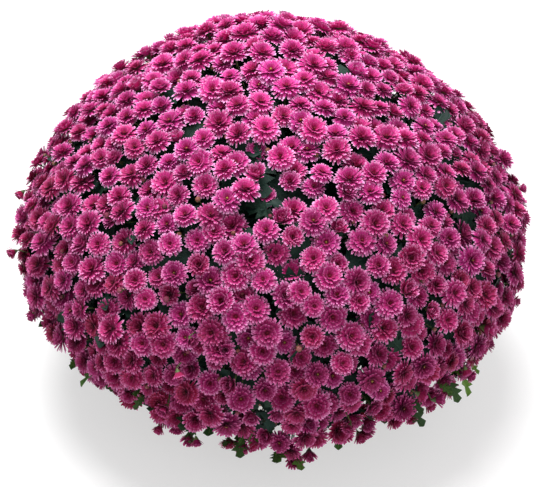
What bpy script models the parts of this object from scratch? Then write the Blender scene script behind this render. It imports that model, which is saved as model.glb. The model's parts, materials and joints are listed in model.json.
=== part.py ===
"""A pot chrysanthemum: a dome of small double blooms on branching, leafy stems, in a plain round pot.

The blooms are a relief raised from the dome's surface. Each spray of them is one solid, whose flower
stalks gather to the end of a branch, and the V-shaped spaces between the sprays hold lobed leaves.
"""

import math
import random

import bmesh
import bpy
import numpy as np
from mathutils import Matrix, Vector
from mathutils.bvhtree import BVHTree

# The dome of blooms, in metres
DOME_RADIUS = 0.300
DOME_RISE = 0.252
DOME_DROP = 0.236
WIDEST_LEVEL = 0.205
SHOULDER = 1.30
HIP = 1.0
SKIRT_TURN = math.radians(121)
HELPER_TURN = math.radians(144)
DOME_STEPS = 720
HEART = Vector((0, 0, WIDEST_LEVEL))

# The skirt isn't level: a small cluster hangs lower at the front, and to its left the skirt is lifted
DIP = 0.022
DIP_AZIMUTH = math.radians(-87)
DIP_WIDTH = math.radians(8)
DIP_FROM = math.radians(108)
LIFT = 0.040
LIFT_AZIMUTH = math.radians(-150)
LIFT_WIDTH = math.radians(26)
LIFT_FROM = math.radians(94)

# The blooms
BLOOM_AREA = 0.00081
BLOOM_NUDGE = 0.0035
BLOOM_UNEVEN = 0.004
PETAL_VALLEY = 0.0055
CORNER_VALLEY = 0.012
GOLDEN_ANGLE = math.pi * (3 - math.sqrt(5))

# The sprays that the blooms are carried in
SPRAYS = 28
SPRAY_DEPTH = 0.112
GAP = 0.0003
GAPS_APART = 0.060
SETTLING_ROUNDS = 12
ROUNDING_DOWN = 0.01
VALLEY_ROUNDS = 7

# The stems, which stand in a ring round the first, and the branches that they end in
STEMS = 8
STEM_RING = 0.034
STEM_RADIUS = 0.0048
STEM_STEPS = 3
STEM_BOW = 0.012
COLLAR_HEIGHT = 0.004
FORK_REACH = 0.105
FORK_TOP_REACH = 0.085
TOP_TURN = math.radians(36)
BRANCH_RADIUS = 0.0026
BRANCH_TIP_RADIUS = 0.0007
BRANCH_INSET = 0.0015
FOOT_GAP = 0.0009

# A leaf's blade: its lobes and the notches between them take turns round the rim
LEAF_LENGTH = 0.046
LEAF_WIDTH = 0.039
LEAF_THICKNESS = 0.0024
LEAF_SIDES = 12
LEAF_NOTCH = 0.5
LEAF_THICKEST = 0.45
LOBE_FORWARD = 0.07
LEAF_DROOP = 0.10
LEAF_STALK_RADIUS = 0.0016
STALK_IN_BLADE = 0.25

# The places tried for a leaf under a gap in the blooms, and for one under the skirt
LEAF_SIZES = (1, 0.85, 0.7)
LEAF_DEPTHS = (0.038, 0.046, 0.054)
LEAF_SLANTS = (0, 0.7, -0.7, 1.4, -1.4, 2.1, -2.1, 2.8)
LEAF_FIRST_SLANT = 0.6
LEAF_TILT = 0.006
SKIRT_LEAVES_PER_STEM = 2
SKIRT_LEAF_REACH = 0.195
SKIRT_LEAF_LEVEL = 0.108
SKIRT_LEAF_SINKS = (0, 0.006, 0.012, 0.018)
SKIRT_LEAF_SLOPE = math.radians(38)
SKIRT_BEND_REACH = 0.165
SKIRT_BEND_LEVEL = 0.185

# The pot and its soil
POT_SIDES = 24
POT_HEIGHT = 0.170
POT_RIM_RADIUS = 0.128
POT_TOP_RADIUS = 0.121
POT_BASE_RADIUS = 0.092
POT_WALL = 0.0025
RIM_DEPTH = 0.022
RIM_TAPER = 0.001
LIP = 0.002
FOOT_BEVEL = 0.003
FLOOR_THICKNESS = 0.004
DRAIN_HOLES = 6
DRAIN_RADIUS = 0.006
DRAIN_RING = 0.062
HOLE_SIDES = 8
SOIL_LEVEL = 0.153
SOIL_MOUND = 0.006
HOLE_DEPTH = 0.045
CUT_MARGIN = 0.01
MERGE = 0.00001

# The colours, from the photograph
PETAL_COLOUR = (0.42, 0.045, 0.17)
LEAF_COLOUR = (0.05, 0.13, 0.05)
POT_COLOUR = (0.16, 0.06, 0.035)
SOIL_COLOUR = (0.06, 0.04, 0.03)

random.seed(7)

for old in list(bpy.data.objects):
    bpy.data.objects.remove(old, do_unlink=True)

PLANT = bpy.data.collections.new("pot_chrysanthemum")
CUTTERS = bpy.data.collections.new("cutters")
CUTTERS.hide_render = True
bpy.context.scene.collection.children.link(PLANT)
bpy.context.scene.collection.children.link(CUTTERS)


def material(name, colour, roughness):
    """A plain finish of one colour."""
    made = bpy.data.materials.new(name)
    made.use_nodes = True
    shader = made.node_tree.nodes["Principled BSDF"]
    shader.inputs["Base Color"].default_value = (*colour, 1)
    shader.inputs["Roughness"].default_value = roughness
    shader.inputs["Metallic"].default_value = 0
    made.diffuse_color = (*colour, 1)
    return made


def new_object(name, mesh, finish, home=PLANT):
    """The mesh as an object with one finish, in the plant unless another home is named."""
    made = bpy.data.objects.new(name, mesh)
    home.objects.link(made)
    mesh.materials.clear()
    mesh.materials.append(finish)
    return made


def dome_reach(turn):
    """How far the dome reaches from its axis, at a turn down from its top: its shoulders are sloping."""
    power = np.where(np.asarray(turn) < math.pi / 2, SHOULDER, HIP)
    return DOME_RADIUS * np.sin(turn) ** power


def dome_level(turn):
    """How high the dome is there."""
    height = np.where(np.asarray(turn) < math.pi / 2, DOME_RISE, DOME_DROP)
    return WIDEST_LEVEL + height * np.cos(turn)


def dome_point(turn, azimuth):
    """The point of the dome at a turn from the top and an azimuth."""
    reach = float(dome_reach(turn))
    return Vector((reach * math.cos(azimuth), reach * math.sin(azimuth), float(dome_level(turn))))


def dome_outward(point):
    """The direction straight out of the dome at a point on it."""
    above = point.z - WIDEST_LEVEL
    height, power = (DOME_RISE, SHOULDER) if above > 0 else (DOME_DROP, HIP)
    sideways = Vector((point.x, point.y, 0))
    level = height * (sideways.length / DOME_RADIUS) ** (2 / power - 1)
    upward = Vector((0, 0, DOME_RADIUS * power * above / height))
    return (sideways.normalized() * level + upward).normalized()


def spiral(end_turn, area_each):
    """Places that each have the same share of the dome, a golden angle apart, down to end_turn."""
    turns = np.linspace(0, end_turn, DOME_STEPS + 1)
    reach, level = dome_reach(turns), dome_level(turns)
    strips = np.hypot(np.diff(reach), np.diff(level)) * math.pi * (reach[1:] + reach[:-1])
    covered = np.concatenate([[0], np.cumsum(strips)])
    count = int(covered[-1] / area_each)
    places = np.interp((np.arange(count) + 0.5) * area_each, covered, turns)
    return [(float(turn), i * GOLDEN_ANGLE) for i, turn in enumerate(places)], covered[-1]


def skirt_share(turn, azimuth, middle, width, start):
    """From 0 to 1: how much a place shares in a change of the skirt round the azimuth middle."""
    aside = math.remainder(azimuth - middle, 2 * math.pi) / width
    below = min(max((turn - start) / (SKIRT_TURN - start), 0), 1)
    return below * math.exp(-aside * aside)


def skirt_lift(turn, azimuth):
    """How far the skirt is lifted above the dome at a place."""
    return LIFT * skirt_share(turn, azimuth, LIFT_AZIMUTH, LIFT_WIDTH, LIFT_FROM)


def skirt_dip(turn, azimuth):
    """How far the front cluster hangs below the dome at a place."""
    return DIP * skirt_share(turn, azimuth, DIP_AZIMUTH, DIP_WIDTH, DIP_FROM)


def grow_blooms():
    """Bloom places as (turn, point on the dome, raised point); those past the skirt are helpers."""
    blooms = []
    for turn, azimuth in spiral(HELPER_TURN, BLOOM_AREA)[0]:
        spot = dome_point(turn, azimuth)
        out = dome_outward(spot)
        around = Vector((-math.sin(azimuth), math.cos(azimuth), 0))
        along = out.cross(around)
        aside = random.uniform(-BLOOM_NUDGE, BLOOM_NUDGE)
        beside = random.uniform(-BLOOM_NUDGE, BLOOM_NUDGE)
        nudged = spot + around * aside + along * beside
        place = (max(turn - beside / DOME_RADIUS, 0), math.atan2(nudged.y, nudged.x))
        spot = dome_point(*place)
        raised = spot + dome_outward(spot) * random.uniform(-BLOOM_UNEVEN, BLOOM_UNEVEN)
        raised.z += skirt_lift(*place) - skirt_dip(*place)
        blooms.append((turn, spot, raised))
    return blooms


def neighbour_triangles(spots):
    """The triangles that join each bloom to the blooms round it: the hull of a convex dome."""
    shell = bmesh.new()
    for i, spot in enumerate(spots):
        shell.verts.new(spot).index = i
    bmesh.ops.convex_hull(shell, input=list(shell.verts))
    triangles = []
    for face in shell.faces:
        corners = [corner.index for corner in face.verts]
        if face.normal.dot(face.calc_center_median() - HEART) < 0:
            corners.reverse()
        triangles.append(tuple(corners))
    shell.free()
    return triangles


def directions(points):
    """Unit directions to the points from the heart of the plant."""
    away = points - np.array(HEART)
    return away / np.linalg.norm(away, axis=1)[:, None]


def settle_sprays(spots):
    """Which spray each bloom belongs to, and where the sprays' middles are."""
    area = spiral(SKIRT_TURN, 1)[1]
    places = spiral(SKIRT_TURN, area / (SPRAYS + ROUNDING_DOWN))[0]
    middles = np.array([dome_point(*place) for place in places])
    points = np.array(spots)
    for _ in range(SETTLING_ROUNDS):
        owner = (directions(points) @ directions(middles).T).argmax(axis=1)
        middles = np.array([points[owner == s].mean(axis=0) for s in range(len(middles))])
    return owner, [Vector(middle) for middle in middles]


def choose_gaps(triangles, owner, spots):
    """One bloom is missing where three sprays meet, so that the dark inside shows there."""
    gaps = []
    for corners in triangles:
        if max(corners) >= len(owner) or len({int(owner[c]) for c in corners}) < 3:
            continue
        bloom = corners[0]
        if all((spots[bloom] - spots[other]).length > GAPS_APART for other in gaps):
            gaps.append(bloom)
    return gaps


class Relief:
    """The blooms' surface: a raised middle each, low valleys half way to the next, lower where three meet.

    Its points are kept under keys, so that the blooms on both sides of a valley share them.
    """

    def __init__(self, blooms, triangles, owner, gaps):
        self.raised = [bloom[2] for bloom in blooms]
        self.triangles = triangles
        self.spray_of = {i: int(owner[i]) for i in range(len(owner)) if i not in gaps}
        self.points = {}
        self.cells = {i: [] for i in range(len(owner))}
        for number, corners in enumerate(triangles):
            self.add_small_triangles(number, corners)
        for _ in range(VALLEY_ROUNDS):
            self.smooth_borders()

    def add_small_triangles(self, number, corners):
        """The two triangles of each of three blooms that meet at their shared low corner."""
        low = ("corner", number)
        middle = sum((self.raised[c] for c in corners), Vector()) / 3
        for k, here in enumerate(corners):
            if here not in self.cells:
                continue
            self.points[low] = middle - dome_outward(middle) * CORNER_VALLEY
            top = ("top", here)
            self.points[top] = self.raised[here]
            after, before = corners[(k + 1) % 3], corners[(k + 2) % 3]
            next_side, last_side = self.side(here, after), self.side(here, before)
            self.cells[here] += [(top, next_side, low), (top, low, last_side)]

    def side(self, a, b):
        """The key of the valley point between two blooms."""
        key = ("side", min(a, b), max(a, b))
        between = (self.raised[a] + self.raised[b]) / 2
        self.points[key] = between - dome_outward(between) * PETAL_VALLEY
        return key

    def borders(self):
        """The edges that two sprays share, or that lie along a gap or the skirt."""
        spray_at = {}
        for bloom, cell in self.cells.items():
            for small in cell:
                for k in range(3):
                    spray_at[small[k], small[(k + 1) % 3]] = self.spray_of.get(bloom)
        return [edge for edge, spray in spray_at.items() if spray_at.get(edge[::-1], -1) != spray]

    def smooth_borders(self):
        """Each border point goes half way to the middle of its neighbours along the border."""
        near = {}
        for a, b in self.borders():
            near.setdefault(a, set()).add(b)
            near.setdefault(b, set()).add(a)
        moved = {}
        for key, others in near.items():
            mean = sum((self.points[other] for other in sorted(others)), Vector()) / len(others)
            moved[key] = self.points[key].lerp(mean, 0.5)
        self.points.update(moved)


def foot_of(middle):
    """Where a spray's flower stalks meet, below its middle."""
    return middle - (middle - HEART).normalized() * SPRAY_DEPTH


def spray_mesh(relief, number, middle):
    """A closed solid: its blooms on top, and flower stalks that gather to one point below them."""
    solid = bmesh.new()
    found = {}
    for bloom, cell in relief.cells.items():
        if relief.spray_of.get(bloom) != number:
            continue
        for small in cell:
            for key in small:
                if key not in found:
                    found[key] = solid.verts.new(relief.points[key])
            solid.faces.new([found[key] for key in small])
    rim = [edge for edge in solid.edges if edge.is_boundary]
    for corner in {corner for edge in rim for corner in edge.verts}:
        corner.co += (middle - corner.co).normalized() * GAP
    foot = solid.verts.new(foot_of(middle))
    for edge in rim:
        loop = edge.link_loops[0]
        solid.faces.new((loop.link_loop_next.vert, loop.vert, foot))
    mesh = bpy.data.meshes.new("spray")
    solid.to_mesh(mesh)
    solid.free()
    return mesh


def tidy_closed(mesh):
    """Merges the doubled points of a closed mesh and turns its faces outwards."""
    shape = bmesh.new()
    shape.from_mesh(mesh)
    bmesh.ops.remove_doubles(shape, verts=list(shape.verts), dist=MERGE)
    bmesh.ops.dissolve_degenerate(shape, edges=list(shape.edges), dist=MERGE)
    bmesh.ops.recalc_face_normals(shape, faces=list(shape.faces))
    shape.to_mesh(mesh)
    shape.free()


def tube(points, radii, finish, home, roundness=0):
    """A tapering stem through the points, as a closed mesh: 4 sides, or 6 with a roundness of 1."""
    curve = bpy.data.curves.new("stem", "CURVE")
    curve.dimensions = "3D"
    curve.bevel_depth = 1
    curve.bevel_resolution = roundness
    curve.use_fill_caps = True
    line = curve.splines.new("POLY")
    line.points.add(len(points) - 1)
    for knot, point, radius in zip(line.points, points, radii):
        knot.co = (*point, 1)
        knot.radius = radius
    guide = bpy.data.objects.new("guide", curve)
    home.objects.link(guide)
    graph = bpy.context.evaluated_depsgraph_get()
    mesh = bpy.data.meshes.new_from_object(guide.evaluated_get(graph))
    bpy.data.objects.remove(guide)
    tidy_closed(mesh)
    return new_object("stem", mesh, finish, home)


def curved(start, lean, end, steps):
    """Points on a bend from start to end that leaves towards lean."""
    shares = [k / steps for k in range(steps + 1)]
    return [start * (1 - s) ** 2 + lean * (2 * s * (1 - s)) + end * s**2 for s in shares]


def leaf(base, tip, face, finish, home):
    """A lobed blade from base to tip: a flat cone on each side, its rim drawn out in lobes."""
    size = (tip - base).length
    half_width = LEAF_WIDTH / LEAF_LENGTH / 2
    blade = bmesh.new()
    bmesh.ops.create_cone(
        blade, cap_ends=True, cap_tris=True, segments=LEAF_SIDES, radius1=1, radius2=0, depth=2
    )
    for corner in blade.verts:
        if math.hypot(corner.co.x, corner.co.y) < MERGE:
            corner.co = Vector((LEAF_THICKEST, 0, math.copysign(LEAF_THICKNESS / size / 2, corner.co.z)))
            continue
        step = round(math.atan2(corner.co.y, corner.co.x) / (2 * math.pi) * LEAF_SIDES)
        turn = step * 2 * math.pi / LEAF_SIDES
        lobe, drawn = (1, LOBE_FORWARD) if step % 2 == 0 else (LEAF_NOTCH, 0)
        forward = (1 + math.cos(turn)) / 2 + drawn * abs(math.sin(turn))
        corner.co = Vector((forward, half_width * math.sin(turn) * lobe, -LEAF_DROOP * forward**2))
    bmesh.ops.triangulate(blade, faces=list(blade.faces))
    bmesh.ops.recalc_face_normals(blade, faces=list(blade.faces))
    along = (tip - base).normalized()
    across = face.cross(along).normalized()
    turn_to = Matrix((along, across, along.cross(across))).transposed().to_4x4()
    blade.transform(Matrix.Translation(base) @ turn_to @ Matrix.Scale(size, 4))
    mesh = bpy.data.meshes.new("leaf")
    blade.to_mesh(mesh)
    blade.free()
    return new_object("leaf", mesh, finish, home)


def surface_of(body):
    """A search tree of a body's faces, for finding what crosses it."""
    return BVHTree.FromPolygons(
        [point.co for point in body.data.vertices], [face.vertices for face in body.data.polygons]
    )


def leaf_on_stalk(start, places, obstacles, finish, home):
    """A leaf and its stalk from the stem, at the first of the places that is clear of the obstacles."""
    for base, tip, face, bend in places:
        into_blade = base.lerp(tip, STALK_IN_BLADE)
        path = curved(start, bend, into_blade, 2) if bend else [start, into_blade]
        stalk = tube(path, [LEAF_STALK_RADIUS] * len(path), finish, home)
        blade = leaf(base, tip, face, finish, home)
        surfaces = [surface_of(stalk), surface_of(blade)]
        if not any(mine.overlap(other) for mine in surfaces for other in obstacles):
            return True
        bpy.data.objects.remove(stalk)
        bpy.data.objects.remove(blade)
    return False


def join_up(name, pieces):
    """One solid of everything in the collection, under this name."""
    first, *others = list(pieces.objects)
    body = new_object(name, first.data, first.data.materials[0])
    pieces.objects.unlink(first)
    bpy.data.objects.remove(first)
    tidy_closed(body.data)
    joining = body.modifiers.new("join", "BOOLEAN")
    joining.operation = "UNION"
    joining.operand_type = "COLLECTION"
    joining.collection = pieces
    joining.solver = "MANIFOLD"
    bpy.context.view_layer.objects.active = body
    bpy.ops.object.modifier_apply(modifier=joining.name)
    for other in others:
        bpy.data.objects.remove(other)
    bpy.data.collections.remove(pieces)
    return body


def hole_place(number):
    """Where a stem stands in the soil: the first in the middle, the others round it."""
    if number == 0:
        return Vector((0, 0, 0)), 0
    azimuth = (number - 0.5) * 2 * math.pi / (STEMS - 1)
    return Vector((STEM_RING * math.cos(azimuth), STEM_RING * math.sin(azimuth), 0)), azimuth


def stem_for(middle):
    """Which stem carries a spray: the middle one those at the top, the others those on their side."""
    around = Vector((middle.x, middle.y))
    if around.length < dome_reach(TOP_TURN) and middle.z > WIDEST_LEVEL:
        return 0
    sector = math.floor(math.atan2(middle.y, middle.x) / (2 * math.pi) * (STEMS - 1))
    return sector % (STEMS - 1) + 1


def fork_of(number, feet):
    """Where a stem divides into the branches for its sprays."""
    if number == 0:
        return HEART + Vector((0, 0, FORK_TOP_REACH))
    mean = sum(feet, Vector()) / len(feet)
    return HEART + (mean - HEART).normalized() * FORK_REACH


def leafy_stem(number, feet, leaf_choices, obstacles, finish):
    """A stem from its hole in the soil to its fork, with a branch to each spray and its leaves."""
    pieces = bpy.data.collections.new("stem_pieces")
    bpy.context.scene.collection.children.link(pieces)
    stand = hole_place(number)[0]
    bottom = stand + Vector((0, 0, SOIL_LEVEL - HOLE_DEPTH + GAP))
    collar = stand + Vector((0, 0, SOIL_LEVEL + SOIL_MOUND + COLLAR_HEIGHT))
    fork = fork_of(number, feet)
    lean = collar.lerp(fork, 0.5) + Vector((0, 0, STEM_BOW))
    path = [bottom] + curved(collar, lean, fork, STEM_STEPS)
    tube(path, [STEM_RADIUS] * len(path), finish, pieces, 1)
    for foot in feet:
        way = (foot - fork).normalized()
        start, end = fork - way * BRANCH_INSET, foot - way * FOOT_GAP
        tube([start, end], [BRANCH_RADIUS, BRANCH_TIP_RADIUS], finish, pieces)
    upper_part = curved(collar, lean, fork, 3 * len(leaf_choices))[-2 * len(leaf_choices):]
    leaves = sum(
        leaf_on_stalk(start, places, obstacles, finish, pieces)
        for start, places in zip(upper_part[::2], leaf_choices)
    )
    print("stem", number + 1, "carries", len(feet), "sprays,", leaves, "of", len(leaf_choices), "leaves")
    return join_up(f"leafy_stem_{number + 1}", pieces)


def gap_leaf_choices(spot):
    """Places for a leaf that faces out from under a gap, turned and sunk until it is clear."""
    out = (spot - HEART).normalized()
    down = Vector((0, 0, 1)).cross(out).cross(out).normalized()
    first = random.uniform(-LEAF_FIRST_SLANT, LEAF_FIRST_SLANT)
    choices = []
    for size in LEAF_SIZES:
        for depth in LEAF_DEPTHS:
            for slant in LEAF_SLANTS:
                half = Matrix.Rotation(first + slant, 3, out) @ down * (LEAF_LENGTH * size / 2)
                middle = spot - out * depth
                choices.append((middle - half, middle + half + out * LEAF_TILT, out, None))
    return choices


def skirt_leaf_choices(azimuth):
    """Places for a leaf that reaches out under the lower edge of the blooms."""
    way, up = Vector((math.cos(azimuth), math.sin(azimuth), 0)), Vector((0, 0, 1))
    lift = up * skirt_lift(SKIRT_TURN, azimuth)
    bend = way * SKIRT_BEND_REACH + up * SKIRT_BEND_LEVEL + lift
    along = way * math.cos(SKIRT_LEAF_SLOPE) - up * math.sin(SKIRT_LEAF_SLOPE)
    choices = []
    for sink in SKIRT_LEAF_SINKS:
        base = way * SKIRT_LEAF_REACH + up * (SKIRT_LEAF_LEVEL - sink) + lift
        choices.append((base, base + along * LEAF_LENGTH, up + way / 2, bend))
    return choices


def turned(name, profile, finish):
    """A solid of revolution from a closed profile of (reach, height), listed top to bottom outside."""
    mesh = bpy.data.meshes.new(name)
    steps = [(k, (k + 1) % len(profile)) for k in range(len(profile))]
    off_axis = [(a, b) for a, b in steps if profile[a][0] or profile[b][0]]
    mesh.from_pydata([(reach, 0, height) for reach, height in profile], off_axis, [])
    body = new_object(name, mesh, finish)
    screw = body.modifiers.new("turn", "SCREW")
    screw.steps = POT_SIDES
    screw.render_steps = POT_SIDES
    screw.use_merge_vertices = True
    screw.merge_threshold = MERGE
    bpy.context.view_layer.objects.active = body
    bpy.ops.object.modifier_apply(modifier=screw.name)
    tidy_closed(body.data)
    return body


def cut_holes(body, places, radius, low, high):
    """Round holes straight down, each of them through the heights low to high."""
    for number, place in enumerate(places):
        middle = (place.x, place.y, (high + low) / 2)
        bpy.ops.mesh.primitive_cylinder_add(
            vertices=HOLE_SIDES, radius=radius, depth=high - low, location=middle
        )
        cutter = bpy.context.object
        cutter.name = f"{body.name}_hole_{number + 1}"
        for home in list(cutter.users_collection):
            home.objects.unlink(cutter)
        CUTTERS.objects.link(cutter)
        cutter.hide_render = True
        cutter.display_type = "WIRE"
        cut = body.modifiers.new(f"hole {number + 1}", "BOOLEAN")
        cut.object = cutter
        cut.operation = "DIFFERENCE"
        cut.solver = "MANIFOLD"


def make_pot(finish):
    """A thin tapering pot with an outside rim, a flat base and drain holes through its floor."""
    slope = (POT_TOP_RADIUS - POT_BASE_RADIUS) / POT_HEIGHT
    under_rim = POT_HEIGHT - RIM_DEPTH
    profile = [
        (POT_RIM_RADIUS, POT_HEIGHT),
        (POT_RIM_RADIUS - RIM_TAPER, under_rim),
        (POT_BASE_RADIUS + slope * under_rim, under_rim - RIM_TAPER),
        (POT_BASE_RADIUS, FOOT_BEVEL),
        (POT_BASE_RADIUS - FOOT_BEVEL, 0),
        (0, 0),
        (0, FLOOR_THICKNESS),
        (POT_BASE_RADIUS - POT_WALL, FLOOR_THICKNESS),
        (POT_TOP_RADIUS - POT_WALL, POT_HEIGHT - LIP),
        (POT_TOP_RADIUS - POT_WALL + LIP, POT_HEIGHT),
    ]
    pot = turned("pot", profile, finish)
    ring = [2 * math.pi * (k + 0.5) / DRAIN_HOLES for k in range(DRAIN_HOLES)]
    places = [Vector((DRAIN_RING * math.cos(a), DRAIN_RING * math.sin(a), 0)) for a in ring]
    cut_holes(pot, places, DRAIN_RADIUS, -CUT_MARGIN, FLOOR_THICKNESS + CUT_MARGIN)


def soil_reach(height):
    """How far the soil reaches inside the pot at a height."""
    rise = (height - FLOOR_THICKNESS) / (POT_HEIGHT - LIP - FLOOR_THICKNESS)
    inside = POT_BASE_RADIUS - POT_WALL + (POT_TOP_RADIUS - POT_BASE_RADIUS) * rise
    return inside - GAP


def make_soil(finish):
    """The soil that fills the pot, a little higher in the middle, with a hole for each stem."""
    low = FLOOR_THICKNESS + GAP
    profile = [
        (0, SOIL_LEVEL + SOIL_MOUND),
        (soil_reach(SOIL_LEVEL), SOIL_LEVEL),
        (soil_reach(low), low),
        (0, low),
    ]
    soil = turned("soil", profile, finish)
    places = [hole_place(number)[0] for number in range(STEMS)]
    radius = (STEM_RADIUS + GAP) / math.cos(math.pi / HOLE_SIDES)
    cut_holes(soil, places, radius, SOIL_LEVEL - HOLE_DEPTH, SOIL_LEVEL + SOIL_MOUND + CUT_MARGIN)


def main():
    """The sprays first, then the pot and its soil, then the stems and leaves between them."""
    petals = material("petals", PETAL_COLOUR, 0.6)
    green = material("leaves", LEAF_COLOUR, 0.55)
    plastic = material("pot_plastic", POT_COLOUR, 0.5)
    earth = material("soil", SOIL_COLOUR, 0.95)
    blooms = grow_blooms()
    spots = [bloom[1] for bloom in blooms if bloom[0] < SKIRT_TURN]
    triangles = neighbour_triangles([bloom[1] for bloom in blooms])
    owner, middles = settle_sprays(spots)
    gaps = choose_gaps(triangles, owner, spots)
    relief = Relief(blooms, triangles, owner, gaps)
    for number, middle in enumerate(middles):
        new_object(f"spray_{number + 1:02d}", spray_mesh(relief, number, middle), petals)
    make_pot(plastic)
    make_soil(earth)
    obstacles = [surface_of(body) for body in PLANT.objects]
    carried = [stem_for(middle) for middle in middles]
    for number in range(STEMS):
        feet = [foot_of(middle) for middle, stem in zip(middles, carried) if stem == number]
        choices = [gap_leaf_choices(spots[gap]) for gap in gaps if stem_for(spots[gap]) == number]
        if number:
            azimuth = hole_place(number)[1]
            step = 2 * math.pi / (STEMS - 1) / SKIRT_LEAVES_PER_STEM
            azimuths = [azimuth + step * (k - 0.5) for k in range(SKIRT_LEAVES_PER_STEM)]
            choices += [skirt_leaf_choices(each) for each in azimuths]
        stem = leafy_stem(number, feet, choices, obstacles, green)
        obstacles.append(surface_of(stem))


main()
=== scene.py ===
# %% [markdown]
# # A pot chrysanthemum in flower
# A garden chrysanthemum is a dome of small double blooms. Each bloom sits on its own thin stalk, the
# stalks gather into sprays, and the sprays end the branches of a few stems that stand in the pot.
# The frame loaded below holds the sizes and the place of every spray. This script dresses it: it
# models a handful of blooms petal by petal, copies them all over the dome, and fills the dark
# spaces between them with stalks, buds and lobed leaves.

# %% Load the frame and keep its box
import json
import math
import random

import bpy
import numpy as np
from mathutils import Matrix, Vector
from mathutils.bvhtree import BVHTree
from mathutils.kdtree import KDTree

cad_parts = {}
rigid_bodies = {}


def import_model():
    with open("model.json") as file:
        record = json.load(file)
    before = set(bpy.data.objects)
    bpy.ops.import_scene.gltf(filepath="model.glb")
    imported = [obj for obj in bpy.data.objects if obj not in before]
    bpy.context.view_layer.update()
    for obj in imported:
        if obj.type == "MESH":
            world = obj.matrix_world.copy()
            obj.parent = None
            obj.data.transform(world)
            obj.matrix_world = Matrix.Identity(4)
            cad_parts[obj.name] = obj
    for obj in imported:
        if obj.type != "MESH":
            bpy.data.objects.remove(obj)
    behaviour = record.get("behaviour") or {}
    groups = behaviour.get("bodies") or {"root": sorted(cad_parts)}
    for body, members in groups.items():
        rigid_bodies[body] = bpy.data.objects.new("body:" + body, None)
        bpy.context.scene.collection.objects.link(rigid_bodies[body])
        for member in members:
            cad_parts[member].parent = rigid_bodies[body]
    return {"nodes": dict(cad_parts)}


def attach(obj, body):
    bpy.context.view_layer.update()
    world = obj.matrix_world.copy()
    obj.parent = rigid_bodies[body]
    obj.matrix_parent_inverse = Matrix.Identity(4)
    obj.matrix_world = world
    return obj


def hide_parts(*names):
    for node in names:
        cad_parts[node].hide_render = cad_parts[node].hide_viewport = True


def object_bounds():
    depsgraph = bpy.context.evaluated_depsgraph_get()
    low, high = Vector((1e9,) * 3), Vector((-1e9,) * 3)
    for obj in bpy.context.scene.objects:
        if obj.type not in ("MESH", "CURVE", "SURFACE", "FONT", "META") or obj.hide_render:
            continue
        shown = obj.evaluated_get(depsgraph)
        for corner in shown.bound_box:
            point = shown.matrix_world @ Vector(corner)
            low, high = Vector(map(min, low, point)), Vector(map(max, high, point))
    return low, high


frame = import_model()
CAD_BOX = [list(corner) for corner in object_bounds()]
SPRAY_NODES = sorted(name for name in frame["nodes"] if name.startswith("spray_"))
STEM_NODES = sorted(name for name in frame["nodes"] if name.startswith("leafy_stem_"))
random.seed(20)
print("frame box", CAD_BOX, len(SPRAY_NODES), "sprays", len(STEM_NODES), "stems")

# %% [markdown]
# ## The dome's own measures
# The blooms lie on a dome with sloping shoulders. All places on it are given by a turn down from the
# top and an azimuth. The heart is the point in the middle at the widest level, and the stalks fan
# out round it. At the front a small cluster hangs a little lower, and to the left of it the skirt
# ends a little higher. The dome rises to its top a little more steeply here than in the frame,
# where the blooms are only a relief.

# %% Dome sizes, in metres
DOME_RADIUS = 0.300
DOME_RISE = 0.261
DOME_DROP = 0.236
WIDEST_LEVEL = 0.205
SHOULDER = 1.42
HIP = 1.0
SKIRT_TURN = math.radians(121)
DIP = 0.022
DIP_AZIMUTH = math.radians(-87)
DIP_WIDTH = math.radians(8)
DIP_FROM = math.radians(108)
LIFT = 0.040
LIFT_AZIMUTH = math.radians(-150)
LIFT_WIDTH = math.radians(26)
LIFT_FROM = math.radians(94)
GOLDEN_ANGLE = math.pi * (3 - math.sqrt(5))
DOME_STEPS = 720
HEART = Vector((0, 0, WIDEST_LEVEL))
UP = Vector((0, 0, 1))


def skirt_share(turn, azimuth, middle, width, start):
    """From 0 to 1: how much a place shares in a change of the skirt round an azimuth."""
    aside = math.remainder(azimuth - middle, 2 * math.pi) / width
    below = min(max((turn - start) / (SKIRT_TURN - start), 0), 1)
    return below * math.exp(-aside * aside)


def dome_point(turn, azimuth):
    """The place on the dome at a turn down from its top and an azimuth."""
    height, power = (DOME_RISE, SHOULDER) if turn < math.pi / 2 else (DOME_DROP, HIP)
    reach = DOME_RADIUS * math.sin(turn) ** power
    level = WIDEST_LEVEL + height * math.cos(turn)
    spot = Vector((reach * math.cos(azimuth), reach * math.sin(azimuth), level))
    dip = DIP * skirt_share(turn, azimuth, DIP_AZIMUTH, DIP_WIDTH, DIP_FROM)
    lift = LIFT * skirt_share(turn, azimuth, LIFT_AZIMUTH, LIFT_WIDTH, LIFT_FROM)
    return spot + UP * (lift - dip)


def dome_outward(point):
    """The direction straight out of the dome at a point on it."""
    above = point.z - WIDEST_LEVEL
    height, power = (DOME_RISE, SHOULDER) if above > 0 else (DOME_DROP, HIP)
    sideways = Vector((point.x, point.y, 0))
    level = height * (sideways.length / DOME_RADIUS) ** (2 / power - 1)
    return (sideways.normalized() * level + UP * DOME_RADIUS * power * above / height).normalized()


def spiral(end_turn, area_each, shift=0.0):
    """Turn and azimuth of places that share the dome's surface evenly, down to end_turn."""
    turns = np.linspace(0, end_turn, DOME_STEPS + 1)
    reach = DOME_RADIUS * np.sin(turns) ** np.where(turns < math.pi / 2, SHOULDER, HIP)
    level = np.where(turns < math.pi / 2, DOME_RISE, DOME_DROP) * np.cos(turns)
    strips = np.hypot(np.diff(reach), np.diff(level)) * math.pi * (reach[1:] + reach[:-1])
    covered = np.concatenate([[0], np.cumsum(strips)])
    count = int(covered[-1] / area_each)
    places = np.interp((np.arange(count) + 0.5) * area_each, covered, turns)
    return [(float(turn), i * GOLDEN_ANGLE + shift) for i, turn in enumerate(places)]


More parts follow.
